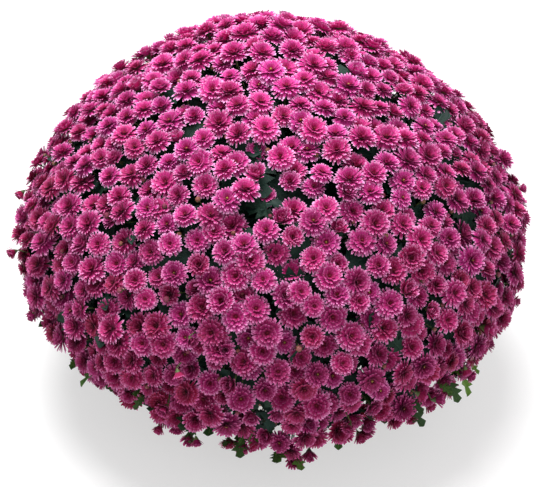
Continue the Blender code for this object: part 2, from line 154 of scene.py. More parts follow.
def nudged(turn, azimuth, most):
    """A place on the dome a random step away, and the way out of the dome there."""
    spot = dome_point(turn, azimuth)
    out = dome_outward(spot)
    around = Vector((-math.sin(azimuth), math.cos(azimuth), 0))
    spot += around * random.uniform(-most, most) + out.cross(around) * random.uniform(-most, most)
    return spot, out


print("dome", 2 * DOME_RADIUS, "m wide")

# %% [markdown]
# ## Camera, light and floor
# The photograph looks down on the plant from about thirty degrees, through a long lens, on a plain
# white ground with a soft shadow. A large soft light hangs over the plant, a weaker one stands in
# front of it, and a pale sky fills the shadows.

# %% Camera
CAMERA_DISTANCE = 1.50
CAMERA_ELEVATION = math.radians(32)
AIM = Vector((-0.002, 0, 0.1825))
LENS = 82.3
SENSOR = 36
camera_data = bpy.data.cameras.new("camera")
camera_data.sensor_width = SENSOR
camera_data.lens = LENS
camera = bpy.data.objects.new("camera", camera_data)
bpy.context.scene.collection.objects.link(camera)
away = Vector((0, -math.cos(CAMERA_ELEVATION), math.sin(CAMERA_ELEVATION)))
camera.location = AIM + away * CAMERA_DISTANCE
camera.rotation_euler = (-away).to_track_quat("-Z", "Y").to_euler()
bpy.context.scene.camera = camera
bpy.context.scene.view_settings.view_transform = "Standard"
print("camera at", [round(c, 3) for c in camera.location])

# %% Lights and sky
SKY_COLOUR = (1, 0.99, 1, 1)
SKY_STRENGTH = 0.60


def soft_light(name, place, size, power):
    """A round light, in watts and metres across, that faces the heart of the plant."""
    light = bpy.data.lights.new(name, "AREA")
    light.shape = "DISK"
    light.size = size
    light.energy = power
    lamp = bpy.data.objects.new(name, light)
    bpy.context.scene.collection.objects.link(lamp)
    lamp.location = place
    lamp.rotation_euler = (HEART - lamp.location).to_track_quat("-Z", "Y").to_euler()


soft_light("key", Vector((-0.25, 0.10, 2.6)), size=1.5, power=96)
soft_light("fill", Vector((0.9, -2.2, 1.3)), size=1.6, power=11)
sky = bpy.data.worlds.new("pale sky")
sky.use_nodes = True
sky.node_tree.nodes["Background"].inputs["Color"].default_value = SKY_COLOUR
sky.node_tree.nodes["Background"].inputs["Strength"].default_value = SKY_STRENGTH
bpy.context.scene.world = sky
print("two soft lights and a pale sky")

# %% [markdown]
# ## A small class for shader maths
# Written as Python expressions, a pattern reads like the formula it is. The class wraps a socket,
# and each operator adds the Math node that does the sum.

# %% Shader expressions


class Value:
    """A number that varies over a surface: wraps an output socket of a material's nodes."""

    def __init__(self, finish, socket):
        self.finish, self.socket = finish, socket

    def maths(self, operation, first, second, clamp=False):
        settings = {"operation": operation, "use_clamp": clamp}
        return self.finish.node("ShaderNodeMath", settings, [first, second])

    def __add__(self, other):
        return self.maths("ADD", self, other)

    def __sub__(self, other):
        return self.maths("SUBTRACT", self, other)

    def __rsub__(self, other):
        return self.maths("SUBTRACT", other, self)

    def __mul__(self, other):
        return self.maths("MULTIPLY", self, other)

    def __pow__(self, other):
        return self.maths("POWER", self, other)

    __radd__ = __add__
    __rmul__ = __mul__

    def size(self):
        """The value without its sign."""
        return self.maths("ABSOLUTE", self, 0)

    def wave(self):
        """A sine wave of the value, from -1 to 1."""
        return self.maths("SINE", self, 0)

    def held(self):
        """Kept between 0 and 1."""
        return self.maths("ADD", self, 0, clamp=True)

    def step_up(self, low, high):
        """0 below low, 1 above high, and smooth between."""
        return self.finish.node("ShaderNodeMapRange", {"interpolation_type": "SMOOTHSTEP"}, [self, low, high])


class Finish:
    """A procedural material: a Principled shader and the nodes that feed it."""

    def __init__(self, name, **constants):
        self.material = bpy.data.materials.new(name)
        self.material.use_nodes = True
        self.tree = self.material.node_tree
        self.shader = self.tree.nodes["Principled BSDF"]
        for socket, value in constants.items():
            self.shader.inputs[socket.replace("_", " ")].default_value = value

    def node(self, kind, settings=None, inputs=(), output=0):
        """Adds a node, sets it up, feeds its sockets with numbers or links, and wraps an output."""
        made = self.tree.nodes.new(kind)
        for key, value in (settings or {}).items():
            setattr(made, key, value)
        pairs = inputs.items() if isinstance(inputs, dict) else enumerate(inputs)
        for key, value in pairs:
            if isinstance(value, Value):
                self.tree.links.new(value.socket, made.inputs[key])
            else:
                made.inputs[key].default_value = value
        return Value(self, made.outputs[output])

    def attribute(self, name):
        """A number that the mesh carries, as mark below gives it."""
        return self.node("ShaderNodeAttribute", {"attribute_name": name}, output="Fac")

    def across_and_along(self):
        """The two directions of a petal's or a leaf's own map, each from 0 to 1."""
        both = self.node("ShaderNodeUVMap", {"uv_map": "petal"})
        across = self.node("ShaderNodeSeparateXYZ", None, [both])
        return across, Value(self, across.socket.node.outputs[1])

    def noise(self, scale, detail=2):
        """Cloudy noise fixed to the piece, with a number of specks to the metre."""
        place = self.node("ShaderNodeTexCoord", output="Object")
        return self.node("ShaderNodeTexNoise", None, {"Vector": place, "Scale": scale, "Detail": detail})

    def blend(self, share, first, second):
        """A colour between two colours."""
        settings = {"data_type": "RGBA", "clamp_factor": True}
        return self.node("ShaderNodeMix", settings, {0: share, 6: first, 7: second}, output=2)

    def feed(self, socket, value):
        """Links a value to a socket of the shader."""
        self.tree.links.new(value.socket, self.shader.inputs[socket])

    def bump(self, height, strength, distance):
        """Fine relief from a height, with its depth in metres."""
        fields = {"Height": height, "Strength": strength, "Distance": distance}
        self.feed("Normal", self.node("ShaderNodeBump", None, fields))


def rgb(red, green, blue):
    """A colour given as it looks on screen, 0 to 255, for a linear socket."""
    def linear(level):
        share = level / 255
        return share / 12.92 if share <= 0.04045 else ((share + 0.055) / 1.055) ** 2.4
    return (linear(red), linear(green), linear(blue), 1)


print("shader expressions ready")

# %% [markdown]
# ## The finish of the petals
# Each petal runs from a deep crimson root to a pale pink tip, with fine streaks along it, and its side
# edges are darkened as painted shade between the petals. The inner petals stay darker, and here and
# there a yellow eye shows. Light from above is painted in as well: blooms high on the plant get
# lighter petals and paler tips than those on the skirt. These numbers travel with the mesh: the ring
# of a petal, a random one for the petal itself, one for its bloom that holds this painted light by
# height and a random part, and a random one for the bloom, which shifts its hue between crimson and
# purple and makes its eye red or yellow.

# %% Petal finish


def petal_finish():
    petal = Finish("petals", Roughness=0.62, Specular_IOR_Level=0.25, Sheen_Weight=0.06,
                   Sheen_Roughness=0.45, Sheen_Tint=(1, 0.62, 0.86, 1))
    across, along = petal.across_and_along()
    ring, single, tone, eye = (petal.attribute(name) for name in ("ring", "single", "tone", "eye"))
    streak = (across * 30 + single * 9).wave()
    edge = (across * 2 - 1).size() ** 3
    tip = (along + edge * 0.10 + single * 0.10 - ring * 0.08).step_up(0.82, 1.10)
    root = 1 - (along + single * 0.20 - ring * 0.35).step_up(-0.20, 0.65)
    # The bloom's number from the mesh carries painted light from above, so higher blooms get lighter bodies,
    # roots and tips, besides a random part.
    lightness = (tone + streak * 0.10 + single * 0.30 - 0.15).held()
    body = petal.blend(lightness, rgb(130, 3, 48), rgb(224, 60, 160))
    body = petal.blend(0.28, body, petal.blend(eye, rgb(190, 16, 76), rgb(150, 32, 130)))
    dark = petal.blend(tone, rgb(84, 3, 32), rgb(150, 14, 70))
    # The dark side edges of each petal are painted shade between the petals; the roots and the inner rings
    # are darker as well.
    shade = root * 0.70 + ring.step_up(0.2, 1.2) * 0.40 + edge * 0.50
    deep = petal.blend(shade.held(), body, dark)
    pale = petal.blend((tone * 1.3).held(), rgb(208, 100, 160), rgb(248, 182, 230))
    lit = petal.blend((tip * (1 - ring * 0.70)).held(), deep, pale)
    eye_colour = petal.blend(eye.step_up(0.80, 0.95), rgb(104, 22, 36), rgb(150, 126, 60))
    petal.feed("Base Color", petal.blend(ring.step_up(1.4, 1.6), lit, eye_colour))
    petal.bump(streak, 0.3, 0.0004)
    return petal.material


PETALS = petal_finish()
print("petal finish:", PETALS.name)

# %% [markdown]
# ## The finishes of leaves, stalks and buds
# Chrysanthemum leaves are dark and slightly bluish on top, with paler veins that run from the
# midrib into the lobes. The leaves inside the plant and in the gaps are made nearly black, as
# painted shade, and those that hang out at the skirt a lighter green, as painted light. Stalks are
# green with a brownish flush. A bud is green below and shows its first colour at the top.

# %% Leaf, stalk and bud finishes


def leaf_finish():
    leaf = Finish("leaves", Roughness=0.62, Specular_IOR_Level=0.25)
    across, along = leaf.across_and_along()
    single, painted_leaf_light = leaf.attribute("single"), leaf.attribute("tone")
    rib = 1 - (across * 2 - 1).size().step_up(0.0, 0.12)
    slant = (across * 2 - 1).size() * 0.28
    vein = ((along - slant) * 31).wave().step_up(0.80, 1.0)
    mottle = leaf.noise(220)
    # The near-black colours are painted shade for the leaves inside and in the gaps, the light ones painted
    # light for the leaves that hang out at the skirt.
    dark = leaf.blend(single, rgb(5, 24, 24), rgb(14, 42, 34))
    light = leaf.blend(single, rgb(48, 104, 40), rgb(104, 146, 52))
    base = leaf.blend(painted_leaf_light, dark, light)
    mixed = leaf.blend(mottle * 0.5, base, leaf.blend(painted_leaf_light, rgb(20, 52, 38), rgb(92, 128, 50)))
    pale = leaf.blend(painted_leaf_light, rgb(26, 58, 50), rgb(150, 176, 96))
    leaf.feed("Base Color", leaf.blend((rib * 0.6 + vein * 0.3).held(), mixed, pale))
    leaf.bump(1 - rib - vein, 0.5, 0.0008)
    return leaf.material


def stalk_finish():
    stalk = Finish("stalks", Roughness=0.55)
    grain = stalk.noise(400)
    base = stalk.blend(stalk.attribute("single"), rgb(46, 84, 40), rgb(84, 112, 54))
    stalk.feed("Base Color", stalk.blend(grain * 0.6, base, rgb(104, 84, 60)))
    stalk.bump(grain, 0.3, 0.0005)
    return stalk.material


def bud_finish():
    bud = Finish("buds", Roughness=0.5)
    across, along = bud.across_and_along()
    fold = (across * 40).wave()
    colour = bud.blend(bud.attribute("single"), rgb(122, 32, 68), rgb(132, 84, 60))
    share = (along + fold * 0.06).step_up(0.45, 0.72)
    bud.feed("Base Color", bud.blend(share, rgb(56, 82, 42), colour))
    bud.bump(fold, 0.5, 0.0006)
    return bud.material


LEAVES, STALKS, BUDS = leaf_finish(), stalk_finish(), bud_finish()
print("green finishes:", LEAVES.name, STALKS.name, BUDS.name)

# %% [markdown]
# ## Modelling helpers
# An operator acts on everything that is selected, so each piece starts with nothing selected.
# Points are then picked in code by their place.

# %% Picking, marking and joining


def deselect():
    """Leaves edit mode and selects nothing."""
    if bpy.context.mode != "OBJECT":
        bpy.ops.object.mode_set(mode="OBJECT")
    bpy.ops.object.select_all(action="DESELECT")


def pick(test):
    """Selects, in edit mode, the points whose place passes the test."""
    bpy.ops.object.mode_set(mode="OBJECT")
    mesh = bpy.context.object.data
    chosen = [test(point.co) for point in mesh.vertices]
    mesh.polygons.foreach_set("select", [False] * len(mesh.polygons))
    mesh.edges.foreach_set("select", [False] * len(mesh.edges))
    mesh.vertices.foreach_set("select", chosen)
    bpy.ops.object.mode_set(mode="EDIT")


def mark(mesh, name, value):
    """Gives every point of the mesh a number that the finishes read."""
    found = mesh.attributes.get(name) or mesh.attributes.new(name, "FLOAT", "POINT")
    found.data.foreach_set("value", np.resize(value, len(mesh.vertices)).astype(np.float32))


def join(name, objects):
    """One object of all the given ones, with one mesh."""
    deselect()
    for part in objects:
        part.select_set(True)
    bpy.context.view_layer.objects.active = objects[0]
    bpy.ops.object.join()
    joined = bpy.context.object
    joined.name = joined.data.name = name
    return joined


def read_map(mesh, name):
    """A mesh's map as an array with one row for each corner of its faces."""
    flat = np.empty(len(mesh.loops) * 2, np.float32)
    mesh.uv_layers[name].data.foreach_get("uv", flat)
    return flat.reshape(-1, 2)


def spread_for_baking(mesh, faces_each):
    """A second map, in which every petal has a cell of its own."""
    flat = read_map(mesh, "petal")
    owner_of_face = np.repeat(np.arange(len(faces_each)), faces_each)
    owner = np.repeat(owner_of_face, [face.loop_total for face in mesh.polygons])
    columns = math.ceil(math.sqrt(len(faces_each)))
    cell = np.stack([owner % columns, owner // columns], axis=1)
    spread = mesh.uv_layers.new(name="OFBake")
    spread.data.foreach_set("uv", ((flat * 0.9 + 0.05 + cell) / columns).astype(np.float32).ravel())
    return owner_of_face


print("helpers ready")

# %% [markdown]
# ## One petal, and a ring of them
# A petal starts as a small grid, which brings a map across and along it. Its rows are narrowed at
# the root and rounded at the tip, like a narrow spoon, its middle is sunk to a channel, and its tip
# droops or lifts. Spin copies it into a ring, and each petal is then unsettled a little, because
# no real bloom is even.

# %% Petal and ring
PETAL_SPREADS = (0.60, 1.0, 0.60)
CHANNEL = 0.14
TIP_POINT = 0.07
RING_TURN = 5.1
PETAL_TILT = 0.13
PETAL_SWING = 0.07
PETAL_SHRINK = 0.14


def make_petal(length, width, columns, droop):
    """A petal along +Y from the origin."""
    deselect()
    rows = len(PETAL_SPREADS) - 1
    bpy.ops.mesh.primitive_grid_add(x_subdivisions=columns, y_subdivisions=rows, size=1, location=(0, 0, 0))
    petal = bpy.context.object
    petal.data.uv_layers[0].name = "petal"
    bpy.ops.object.mode_set(mode="EDIT")
    bpy.ops.mesh.select_all(action="SELECT")
    bpy.ops.transform.translate(value=(0, 0.5, 0))
    bpy.ops.transform.resize(value=(width, length, 1), center_override=(0, 0, 0))
    for row, spread in enumerate(PETAL_SPREADS):
        share = row / rows
        pick(lambda co: abs(co.y - share * length) < length * 0.02)
        bpy.ops.transform.resize(value=(spread, 1, 1), center_override=(0, 0, 0))
        bpy.ops.transform.translate(value=(0, 0, droop * share * share * length))
    pick(lambda co: abs(co.x) < width * 0.01)
    bpy.ops.transform.translate(value=(0, 0, -CHANNEL * width))
    pick(lambda co: abs(co.x) < width * 0.01 and co.y > length * 0.9)
    bpy.ops.transform.translate(value=(0, TIP_POINT * length, 0))
    bpy.ops.object.mode_set(mode="OBJECT")
    return petal


def unsettle(mesh, count, tilt, stretch):
    """Tilts, turns and stretches each of the ring's petals by a small random amount."""
    points = np.empty(len(mesh.vertices) * 3, np.float32)
    mesh.vertices.foreach_get("co", points)
    petals = points.reshape(count, -1, 3)
    for petal in petals:
        middle = petal.mean(axis=0)
        aim = Matrix.Rotation(math.atan2(middle[1], middle[0]) - math.pi / 2, 3, "Z")
        lift = Matrix.Rotation(random.uniform(-tilt, tilt), 3, "X")
        swing = Matrix.Rotation(random.uniform(-PETAL_SWING, PETAL_SWING), 3, "Z")
        longer = Matrix.Diagonal((1, random.uniform(1 - stretch, 1), 1))
        petal[:] = petal @ np.array(aim @ lift @ swing @ longer @ aim.inverted()).T
    mesh.vertices.foreach_set("co", petals.ravel())


def make_ring(count, length, width, rise, start, height, ring, columns, droop):
    """A ring of petals: one petal tilted up by rise degrees, copied round with Spin."""
    petal = make_petal(length, width, columns, droop)
    bpy.ops.object.mode_set(mode="EDIT")
    bpy.ops.mesh.select_all(action="SELECT")
    bpy.ops.transform.rotate(value=-math.radians(rise), orient_axis="X", center_override=(0, 0, 0))
    bpy.ops.transform.translate(value=(0, start, 0))
    turn = 2 * math.pi / count
    bpy.ops.mesh.spin(steps=count - 1, dupli=True, angle=turn * (count - 1), center=(0, 0, 0), axis=(0, 0, 1))
    bpy.ops.mesh.select_all(action="SELECT")
    bpy.ops.transform.rotate(value=ring * RING_TURN, orient_axis="Z", center_override=(0, 0, 0))
    bpy.ops.object.mode_set(mode="OBJECT")
    unsettle(petal.data, count, PETAL_TILT, PETAL_SHRINK)
    bpy.ops.object.mode_set(mode="EDIT")
    bpy.ops.mesh.select_all(action="SELECT")
    bpy.ops.transform.translate(value=(0, 0, height))
    bpy.ops.object.mode_set(mode="OBJECT")
    mark(petal.data, "ring", ring)
    return petal


trial = make_ring(8, 0.013, 0.004, 20, 0.002, 0, 0.0, 2, 0.0)
heights = [point.co.z for point in trial.data.vertices]
print("trial ring:", len(trial.data.polygons), "faces,", round(max(heights) * 1000, 1), "mm high")
bpy.data.objects.remove(trial)

# %% [markdown]
# ## The blooms
# A bloom is four rings of petals, flat or drooping outside and steeper inside, round a small eye.
# A few kinds are enough: wide open, fuller, flatter, looser, young, and half open, where three rings
# of petals are cupped. The two outer rings have finer petals than the inner ones, which hardly show.

# %% Bloom kinds: each ring's count, length, width and rise in degrees
BLOOM_RADIUS = 0.0162
KINDS = {
    "open": [(34, 1.00, 0.190, 0), (28, 0.90, 0.190, 16), (18, 0.72, 0.205, 33), (10, 0.48, 0.19, 52)],
    "full": [(34, 1.00, 0.190, 7), (28, 0.92, 0.190, 24), (18, 0.77, 0.205, 42), (10, 0.54, 0.19, 60)],
    "flat": [(35, 1.00, 0.190, -8), (29, 0.89, 0.185, 7), (18, 0.69, 0.205, 24), (10, 0.44, 0.19, 46)],
    "loose": [(30, 1.00, 0.200, -4), (25, 0.87, 0.200, 18), (16, 0.71, 0.210, 30), (9, 0.48, 0.19, 56)],
    "young": [(31, 0.90, 0.190, 24), (26, 0.84, 0.190, 40), (16, 0.72, 0.205, 56), (9, 0.53, 0.19, 70)],
    "cup": [(18, 0.94, 0.260, 56), (14, 0.90, 0.260, 68), (9, 0.72, 0.240, 80)],
}
FINE_RINGS = 2
OUTER_DROOP = -0.14
INNER_DROOP = 0.06
EYE_RADIUS = 0.0014
EYE_HEIGHT = 0.0028


def make_bloom(kind, rings):
    """A bloom that faces +Z from the origin, with its rings and its eye joined."""
    parts, faces_each = [], []
    for number, (count, reach, width, rise) in enumerate(rings):
        columns = 2 if number < FINE_RINGS else 1
        start = 0.0022 - 0.0004 * number
        length = BLOOM_RADIUS * reach - start
        droop = OUTER_DROOP if number == 0 else INNER_DROOP
        parts.append(make_ring(count, length, BLOOM_RADIUS * width, rise, start,
                               0.0005 * number, number / 3, columns, droop))
        faces_each += [columns * (len(PETAL_SPREADS) - 1)] * count
    deselect()
    place = (0, 0, EYE_HEIGHT)
    bpy.ops.mesh.primitive_uv_sphere_add(segments=6, ring_count=3, radius=EYE_RADIUS, location=place)
    eye = bpy.context.object
    eye.data.uv_layers[0].name = "petal"
    mark(eye.data, "ring", 2.0)
    faces_each.append(len(eye.data.polygons))
    bloom = join("bloom_" + kind, [*parts, eye])
    owner_of_face = spread_for_baking(bloom.data, faces_each)
    single = np.zeros(len(bloom.data.vertices))
    shares = [random.random() for _ in faces_each]
    for face, owner in zip(bloom.data.polygons, owner_of_face):
        single[list(face.vertices)] = shares[owner]
    mark(bloom.data, "single", single)
    mark(bloom.data, "tone", 0.5)
    mark(bloom.data, "eye", 0)
    bpy.ops.object.shade_smooth()
    bloom.data.materials.clear()
    bloom.data.materials.append(PETALS)
    print(kind, "bloom:", len(bloom.data.polygons), "faces")
    return bloom


BLOOMS = {kind: make_bloom(kind, rings) for kind, rings in KINDS.items()}

# %% [markdown]
# ## Green parts that repeat
# Under each bloom sits a green cup, and a thin stalk runs from it down to its branch. The leaf is a
# grid whose rows are alternately wide and narrow, which makes its lobes, with their corners drawn
# forward to points.

# %% Cup, stalk, leaf and bud


def finish_small(thing, name, finish):
    """Names a model, gives it its finish, its map for baking and its numbers."""
    bpy.ops.object.mode_set(mode="OBJECT")
    thing.name = thing.data.name = name
    thing.data.uv_layers[0].name = "petal"
    spread_for_baking(thing.data, [len(thing.data.polygons)])
    thing.data.materials.append(finish)
    mark(thing.data, "single", 0.5)
    mark(thing.data, "tone", 0)
    bpy.ops.object.shade_smooth()
    return thing


def make_cup():
    """The green cup under a bloom: a cone that widens upwards."""
    deselect()
    bpy.ops.mesh.primitive_cone_add(vertices=7, radius1=0.0012, radius2=0.0044, depth=0.006,
                                    end_fill_type="NOTHING", location=(0, 0, 0))
    bpy.ops.object.mode_set(mode="EDIT")
    bpy.ops.transform.translate(value=(0, 0, -0.0020))
    return finish_small(bpy.context.object, "cup", STALKS)


def make_stalk():
    """A stalk one metre long along +Z, to be scaled to its real length."""
    deselect()
    bpy.ops.mesh.primitive_cylinder_add(vertices=4, radius=0.0008, depth=1, end_fill_type="NOTHING",
                                        location=(0, 0, 0))
    bpy.ops.object.mode_set(mode="EDIT")
    bpy.ops.transform.translate(value=(0, 0, 0.5))
    return finish_small(bpy.context.object, "stalk", STALKS)


LEAF_ROWS = (0.08, 0.50, 0.26, 0.94, 0.34, 1.00, 0.36, 0.56, 0.12)
LOBE_ROWS = (1, 3, 5, 7)
LEAF_WIDTH = 0.68
LOBE_DRAW = (0, 0.080, 0.015)


def make_leaf(name, curl, fold):
    """A lobed leaf one metre long along +Y from the origin, to be scaled."""
    deselect()
    rows = len(LEAF_ROWS) - 1
    bpy.ops.mesh.primitive_grid_add(x_subdivisions=4, y_subdivisions=rows, size=1, location=(0, 0, 0))
    bpy.ops.object.mode_set(mode="EDIT")
    bpy.ops.mesh.select_all(action="SELECT")
    bpy.ops.transform.translate(value=(0, 0.5, 0))
    bpy.ops.transform.resize(value=(LEAF_WIDTH, 1, 1), center_override=(0, 0, 0))
    for row, spread in enumerate(LEAF_ROWS):
        level = row / rows
        pick(lambda co: abs(co.y - level) < 0.02)
        bpy.ops.transform.resize(value=(spread, 1, 1), center_override=(0, 0, 0))
        bpy.ops.transform.translate(value=(0, 0, -curl * (level - 0.3) ** 2))
    for row in LOBE_ROWS:
        level = row / rows
        pick(lambda co: abs(co.y - level) < 0.02 and abs(co.x) > 0.2 * LEAF_ROWS[row])
        bpy.ops.transform.translate(value=LOBE_DRAW)
    pick(lambda co: abs(co.x) < 0.01)
    bpy.ops.transform.translate(value=(0, 0, -fold))
    pick(lambda co: co.y > 0.97)
    bpy.ops.transform.translate(value=(0, 0.03, 0))
    return finish_small(bpy.context.object, name, LEAVES)


def make_bud():
    """A round bud of radius 1, to be scaled, with its tip drawn up a little."""
    deselect()
    bpy.ops.mesh.primitive_uv_sphere_add(segments=8, ring_count=5, radius=1, location=(0, 0, 0))
    bpy.ops.object.mode_set(mode="EDIT")
    pick(lambda co: co.z > 0.95)
    bpy.ops.transform.translate(value=(0, 0, 0.15))
    return finish_small(bpy.context.object, "bud", BUDS)


CUP = make_cup()
STALK = make_stalk()
LEAF_KINDS = [make_leaf("leaf_arched", 0.55, 0.05), make_leaf("leaf_flat", 0.15, 0.03)]
BUD = make_bud()
print("a leaf has", len(LEAF_KINDS[0].data.polygons), "faces, a bud", len(BUD.data.polygons))

# %% [markdown]
# ## Which spray each bloom belongs to
# A line from outside towards the heart meets the frame first at the spray that the bloom sits on.
# Where it falls deep between the sprays there is a gap. Each spray gathers its stalks at one foot,
# on a branch of the stem that comes closest to it.

# %% Find the frame under a place
CAST_FROM = 0.06
GAP_DEPTH = 0.026


def surface_of(names):
    """A tree to cast rays at, and the node that owns each of its faces."""
    points, faces, owners = [], [], []
    for name in names:
        mesh = frame["nodes"][name].data
        first = len(points)
        points += [point.co.copy() for point in mesh.vertices]
        for face in mesh.polygons:
            faces.append([first + corner for corner in face.vertices])
            owners.append(name)
    return BVHTree.FromPolygons(points, faces), owners


SPRAY_SURFACE, SPRAY_OF_FACE = surface_of(SPRAY_NODES)
STEM_SURFACE, STEM_OF_FACE = surface_of(STEM_NODES)


def spray_under(spot):
    """The spray below a spot on the dome, or None in a gap."""
    inward = (HEART - spot).normalized()
    hit, _, face, distance = SPRAY_SURFACE.ray_cast(spot - inward * CAST_FROM, inward)
    if hit is None or distance > CAST_FROM + GAP_DEPTH:
        return None
    return SPRAY_OF_FACE[face]


def foot_of(name):
    """The point of a spray that lies closest to the heart, where its stalks gather."""
    points = [point.co for point in frame["nodes"][name].data.vertices]
    return min(points, key=lambda co: (co - HEART).length).copy()


FEET = {name: foot_of(name) for name in SPRAY_NODES}
STEM_OF_SPRAY = {name: STEM_OF_FACE[STEM_SURFACE.find_nearest(foot)[2]] for name, foot in FEET.items()}
SPRAY_TREE = KDTree(len(SPRAY_NODES))
for number, name in enumerate(SPRAY_NODES):
    SPRAY_TREE.insert((FEET[name] - HEART).normalized(), number)
SPRAY_TREE.balance()


def spray_near(point):
    """The spray that lies in the direction of a point."""
    return SPRAY_NODES[SPRAY_TREE.find((point - HEART).normalized())[1]]


def stem_near(point):
    """The stem that carries the spray in the direction of a point."""
    return STEM_OF_SPRAY[spray_near(point)]


print({name: list(STEM_OF_SPRAY.values()).count(name) for name in STEM_NODES})

# %% [markdown]
# ## Place the blooms
# The blooms share the dome evenly, as on a real plant that has filled out, but each is nudged aside,
# sunk or raised, turned and leaned, because neighbours push each other about. Most face outwards
# and a little to the sky. Near the skirt more of them are only half open. Round the top the cover
# is closed, so a low bloom fills each gap there, and further down it fills one gap in a few. Then
# some half open blooms stand out of the rest at random, and others hang from the skirt's edge.

# %% Bloom places
BLOOM_AREA = 0.00058
BLOOM_NUDGE = 0.0052
BLOOM_LEAN = 0.62
SUNK = 0.011
SUNK_SHARE = 0.24
FILLED_SHARE = 0.22
OPEN_KINDS = (("open", 0.28), ("full", 0.55), ("flat", 0.72), ("loose", 0.88), ("young", 0.97), ("cup", 1))
SKIRT_KINDS = (("open", 0.22), ("full", 0.44), ("loose", 0.58), ("young", 0.80), ("cup", 1))
SKIRT_FROM = math.radians(104)
CLOSED_TURN = math.radians(50)


def facing_frame(out, spin):
    """A turn whose Z points along out, spun about it."""
    return out.to_track_quat("Z", "Y").to_matrix().to_4x4() @ Matrix.Rotation(spin, 4, "Z")


def scatter(most):
    """A random direction, not normalised."""
    return Vector((random.random() - 0.5, random.random() - 0.5, random.random() - 0.5)) * most


placed = {name: [] for name in SPRAY_NODES}
gap_spots = []
for turn, azimuth in spiral(SKIRT_TURN, BLOOM_AREA):
    spot, out = nudged(turn, azimuth, BLOOM_NUDGE)
    draws = [random.random() for _ in range(8)]
    name = spray_under(spot)
    filled = name is None and (turn < CLOSED_TURN or draws[3] < FILLED_SHARE)
    if name is None and not filled:
        gap_spots.append((spot, out))
        continue
    kinds = SKIRT_KINDS if turn > SKIRT_FROM else OPEN_KINDS
    kind = next(kind for kind, limit in kinds if draws[0] <= limit)
    crowded = max(1 - turn / CLOSED_TURN, 0)
    size = (0.77 + 0.31 * draws[1]) * (1 + 0.10 * crowded)
    deep = SUNK if filled or draws[3] < SUNK_SHARE else 0
    sink = (0.010 * draws[2] ** 2 + deep) * (1 - 0.6 * crowded)
    lean = Vector((draws[4] - 0.5, draws[5] - 0.5, draws[6] - 0.5)) * BLOOM_LEAN
    facing = (out * 0.8 + UP * 0.36 + lean).normalized()
    # Painted light from above: a bloom is lighter the higher it sits on the dome, plus a random part.
    tone = 0.95 * (spot.z / CAD_BOX[1][2]) ** 2.4 + 0.45 * draws[7] - 0.13
    bloom = (kind, spot - out * (0.003 + sink), facing, size, random.uniform(0, 6.28), tone)
    placed[name or spray_near(spot)].append(bloom)

STRAY = 42
for number in range(STRAY):
    turn, azimuth = math.radians(random.uniform(78, 120)), random.uniform(-math.pi, math.pi)
    spot, out = nudged(turn, azimuth, 0)
    name = spray_under(spot)
    facing = (out + scatter(1.6) - UP * 0.2).normalized()
    place = spot + out * random.uniform(0.001, 0.008)
    if name:
        # Stray blooms get a fixed low value, painted shade as for the lower blooms.
        placed[name].append(("cup", place, facing, random.uniform(0.60, 0.85), random.uniform(0, 6.28), 0))

HANGING = 46
for number in range(HANGING):
    azimuth = 2 * math.pi * (number + random.uniform(-0.45, 0.45)) / HANGING
    edge = dome_point(SKIRT_TURN, azimuth)
    way = Vector((math.cos(azimuth), math.sin(azimuth), 0))
    name = spray_under(dome_point(math.radians(117), azimuth))
    if name is None:
        continue
    place = edge - UP * random.uniform(-0.004, 0.008) - way * random.uniform(0.002, 0.016)
    facing = (way - UP * random.uniform(-0.1, 0.6) + scatter(0.8)).normalized()
    kind = random.choice(("cup", "cup", "cup", "young"))
    # Hanging blooms get a still lower value, painted shade under the skirt.
    placed[name].append((kind, place, facing, random.uniform(0.66, 0.95), random.uniform(0, 6.28), -0.1))
print(sum(len(blooms) for blooms in placed.values()), "blooms,", len(gap_spots), "gaps")

# %% [markdown]
# ## Copy the blooms onto each spray
# Each copy gets its own mesh, its own number for the finish, and its own cell in the map for baking.
# All the blooms of a spray are then joined to one piece.

# %% Bloom pieces


def copy_to(model, matrix, numbers, cell):
    """A copy of a model with its own mesh, moved in the mesh."""
    mesh = model.data.copy()
    mesh.transform(matrix)
    for name, value in numbers.items():
        mark(mesh, name, value)
    number, columns = cell
    flat = (read_map(mesh, "OFBake") + np.array([number % columns, number // columns])) / columns
    mesh.uv_layers["OFBake"].data.foreach_set("uv", flat.astype(np.float32).ravel())
    made = bpy.data.objects.new(model.name, mesh)
    bpy.context.scene.collection.objects.link(made)
    return made


def gather(name, copies):
    """One piece of many copies, given as model, matrix and numbers."""
    columns = math.ceil(math.sqrt(len(copies)))
    return join(name, [copy_to(*copy, (number, columns)) for number, copy in enumerate(copies)])


def dress(piece, node):
    """The piece stands for a node of the frame: it goes on the root body, and the node is hidden."""
    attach(piece, "root")
    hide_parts(node)


for name, blooms in placed.items():
    copies = []
    for kind, place, facing, size, spin, tone in blooms:
        matrix = Matrix.Translation(place) @ facing_frame(facing, spin) @ Matrix.Scale(size, 4)
        copies.append((BLOOMS[kind], matrix, {"tone": tone, "eye": random.random()}))
    dress(gather("blooms_" + name[-2:], copies), name)
print("bloom pieces made")

# %% [markdown]
# ## Stems, stalks, leaves and buds
# The green parts fill the space under the blooms. They are gathered in one piece for each stem of
# the frame: the stem itself with its branches, a stalk and a cup for every bloom, the buds that sit
# between the blooms, and the leaves that show in the gaps and hang out under the skirt. A second,
# deeper layer of leaves fills the sides of the plant, so that little light falls through them.

# %% A stem or branch along a path
STEM_RADIUS = 0.0048
BRANCH_RADIUS = 0.0026
SOIL_LEVEL = 0.153
HOLE_DEPTH = 0.045
STEM_RING = 0.034
FORK_REACH = 0.105
TOP_FORK_REACH = 0.085
BRANCH_TIP_RADIUS = 0.0012
STILL = Matrix.Identity(4)


